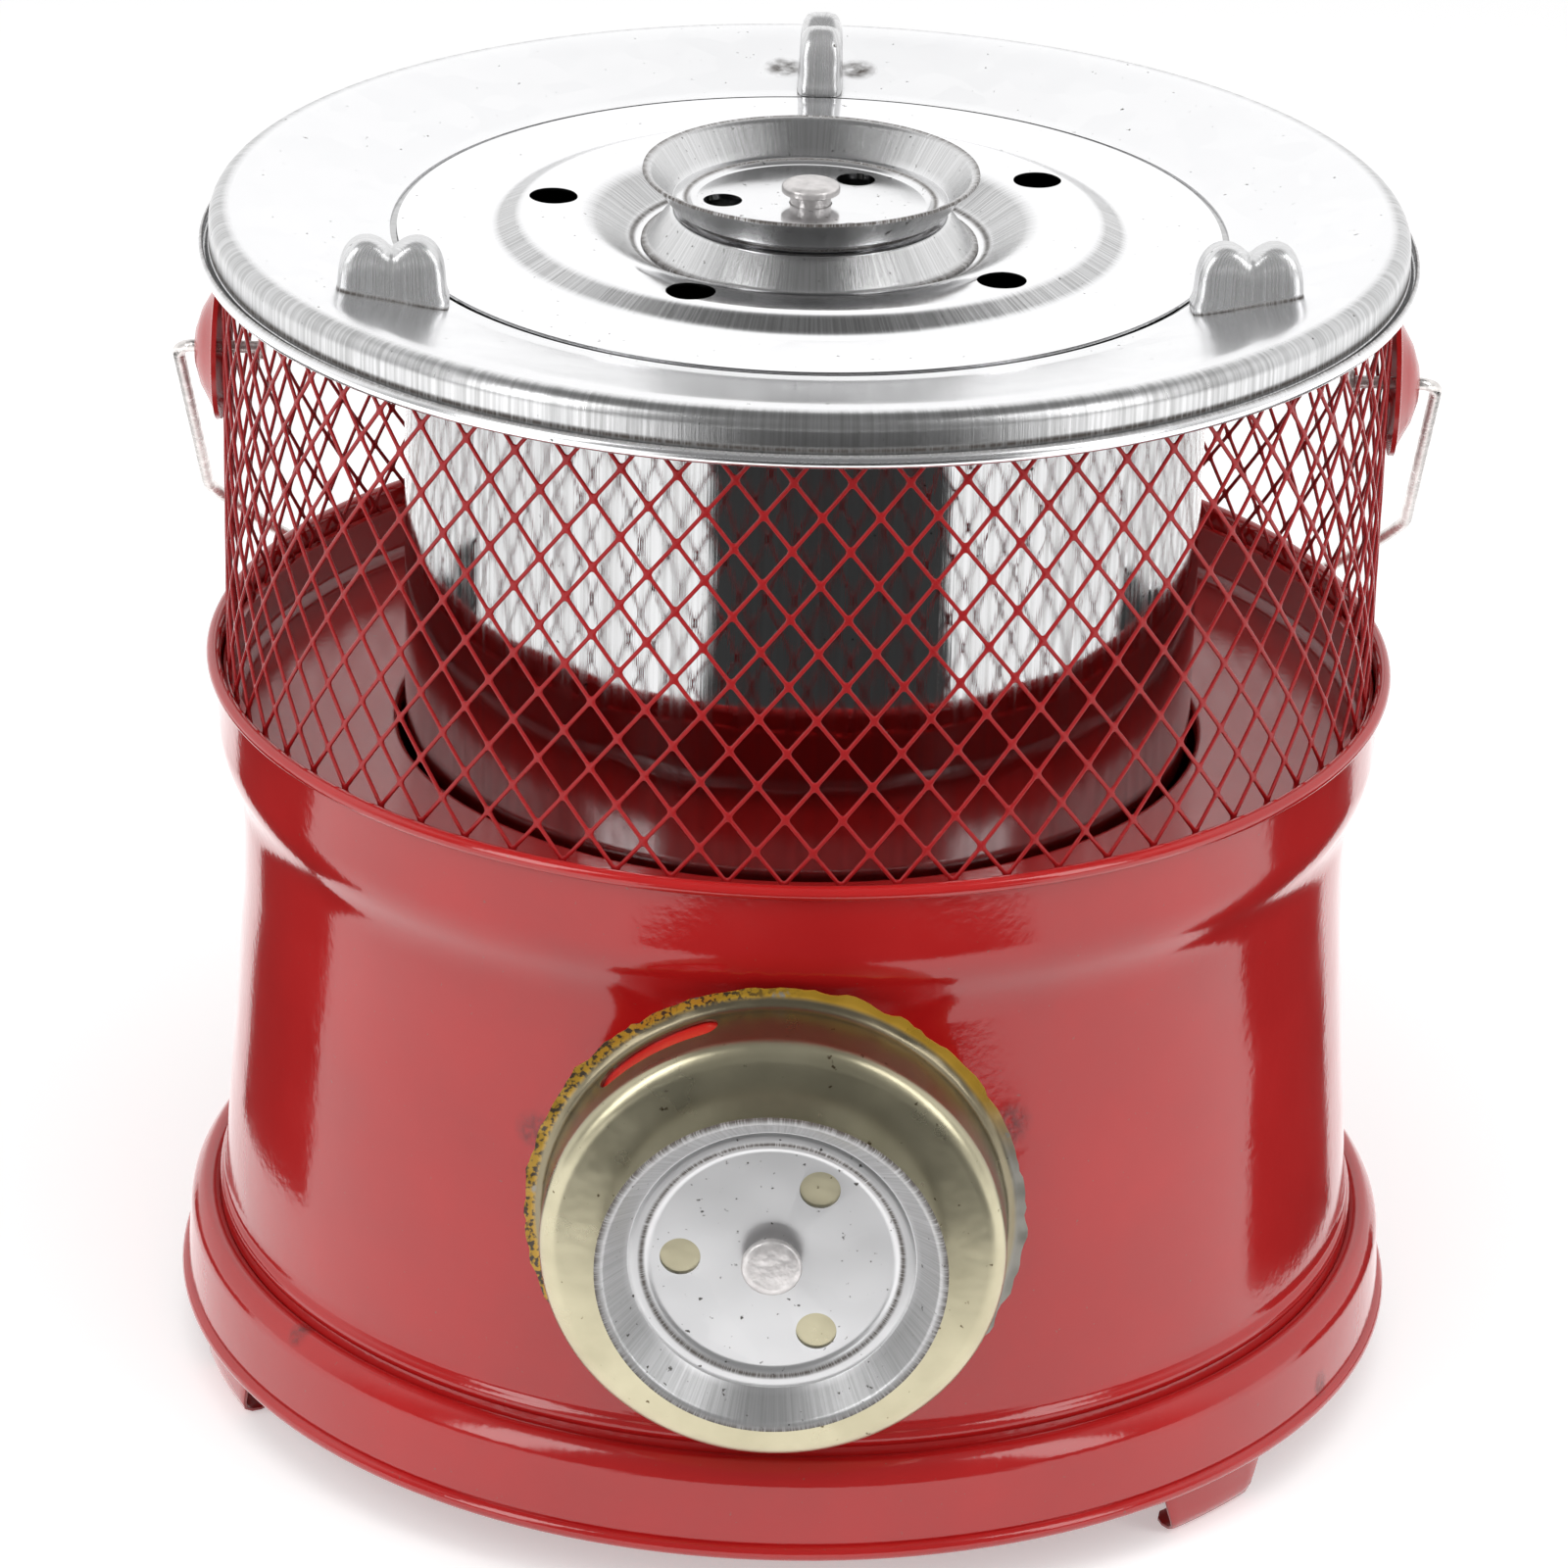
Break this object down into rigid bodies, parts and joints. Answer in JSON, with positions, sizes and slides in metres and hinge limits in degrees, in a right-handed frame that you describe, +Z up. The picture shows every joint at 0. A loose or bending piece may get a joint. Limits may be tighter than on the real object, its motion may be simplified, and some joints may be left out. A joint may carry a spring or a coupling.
{
  "type": "charcoal stove",
  "caption": "Round tabletop charcoal stove: red enamelled drum with a turning air damper, mesh guard, galvanized fire barrel, ring cover with pot lugs, vented lift-off lid and wire bail.",
  "frame": {"origin": "on the axis of the drum, at the level of the soles of the feet", "axes": "+Z up along the fire barrel, -Y out of the front through the damper, +X to the right seen from the front"},
  "size_m": [0.2638, 0.2817, 0.2636],
  "materials": {
    "red_enamel": "glossy red stoving enamel on pressed sheet",
    "red_mesh": "red enamelled expanded mesh",
    "galvanized_sheet": "bright galvanized sheet with scratches and draw marks",
    "grate_steel": "dark bare steel",
    "bail_wire": "bright drawn wire",
    "rivet_steel": "bright steel rivet",
    "gold_tinplate": "worn gold lacquer on tinplate"
  },
  "bodies": {
    "stove": {"base_pan": "red_enamel", "body_wall": "red_enamel", "foot_back": "red_enamel", "foot_left": "red_enamel", "foot_right": "red_enamel", "tray": "red_enamel", "air_collar": "red_enamel", "fire_barrel": "galvanized_sheet", "fire_grate": "grate_steel", "mesh_guard": "red_mesh", "top_cover": "galvanized_sheet", "pot_lug_back": "galvanized_sheet", "pot_lug_left": "galvanized_sheet", "pot_lug_right": "galvanized_sheet", "ear_left": "red_enamel", "ear_right": "red_enamel"},
    "lid": {"lid_plate": "galvanized_sheet", "knob_lower_dish": "galvanized_sheet", "knob_upper_dish": "galvanized_sheet", "lid_rivet": "rivet_steel"},
    "damper": {"damper_cap": "gold_tinplate", "damper_dish": "galvanized_sheet", "damper_rivet": "rivet_steel"},
    "bail": {"bail": "bail_wire"}
  },
  "joints": [
    {"name": "lid_lift", "type": "slide", "parent": "stove", "child": "lid", "axis": [0, 0, 1], "range_m": [0, 0.15]},
    {"name": "damper_turn", "type": "hinge", "parent": "stove", "child": "damper", "pos_m": [0, -0.13, 0.0865], "axis": [0, -1, 0], "continuous": true},
    {"name": "bail_swing", "type": "hinge", "parent": "stove", "child": "bail", "pos_m": [0, 0, 0.2195], "axis": [1, 0, 0], "range_deg": [0, 248]}
  ]
}
